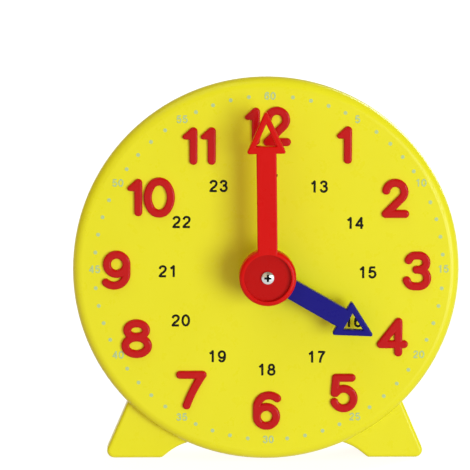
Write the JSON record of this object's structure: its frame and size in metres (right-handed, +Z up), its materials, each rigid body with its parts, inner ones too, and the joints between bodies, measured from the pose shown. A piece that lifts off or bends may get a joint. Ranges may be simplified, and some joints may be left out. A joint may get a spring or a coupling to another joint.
{
  "type": "teaching clock",
  "caption": "Free-standing round classroom clock with raised numerals and geared arrow-shaped hands that are turned by hand to show the time.",
  "frame": {"origin": "on the ground under the clock, in the middle of its width and of its whole depth", "axes": "+Z up, +X to the right as seen from the front, the dial faces -Y and the back faces +Y"},
  "size_m": [0.1, 0.0318, 0.1004],
  "materials": {
    "case_yellow": "moulded yellow ABS, semi-gloss",
    "numeral_red": "glossy red, rounded raised strokes",
    "hand_red": "moulded red ABS, semi-gloss",
    "hand_blue": "moulded dark blue ABS, semi-gloss",
    "gear_white": "natural white acetal",
    "steel": "bright zinc-plated steel",
    "spring_steel": "plain spring steel",
    "ink_black": "pad-printed black ink",
    "ink_pale": "pad-printed pale blue-green ink"
  },
  "bodies": {
    "clock_case": {"front_shell": "case_yellow", "back_shell": "case_yellow", "case_screws": "steel", "numeral_01": "numeral_red", "numeral_02": "numeral_red", "numeral_03": "numeral_red", "numeral_04": "numeral_red", "numeral_05": "numeral_red", "numeral_06": "numeral_red", "numeral_07": "numeral_red", "numeral_08": "numeral_red", "numeral_09": "numeral_red", "numeral_10": "numeral_red", "numeral_11": "numeral_red", "numeral_12": "numeral_red", "idler_pin": "steel", "friction_washer": "spring_steel"},
    "minute_train": {"minute_arbor": "gear_white", "minute_hand": "hand_red", "hand_screw": "steel"},
    "hour_train": {"hour_wheel": "gear_white", "hour_hand": "hand_blue"},
    "idler": {"idler_gear": "gear_white"}
  },
  "joints": [
    {"name": "minute_turn", "type": "hinge", "parent": "clock_case", "child": "minute_train", "pos_m": [0, 0, 0.0504], "axis": [0, 1, 0], "continuous": true},
    {"name": "hour_turn", "type": "hinge", "parent": "clock_case", "child": "hour_train", "pos_m": [0, 0, 0.0504], "axis": [0, 1, 0], "continuous": true},
    {"name": "idler_turn", "type": "hinge", "parent": "clock_case", "child": "idler", "pos_m": [0, 0, 0.0264], "axis": [0, 1, 0], "continuous": true}
  ],
  "couplings": [
    {"joint": "hour_turn", "follows": "minute_turn", "ratio": 0.083333},
    {"joint": "idler_turn", "follows": "minute_turn", "ratio": -0.33333}
  ]
}
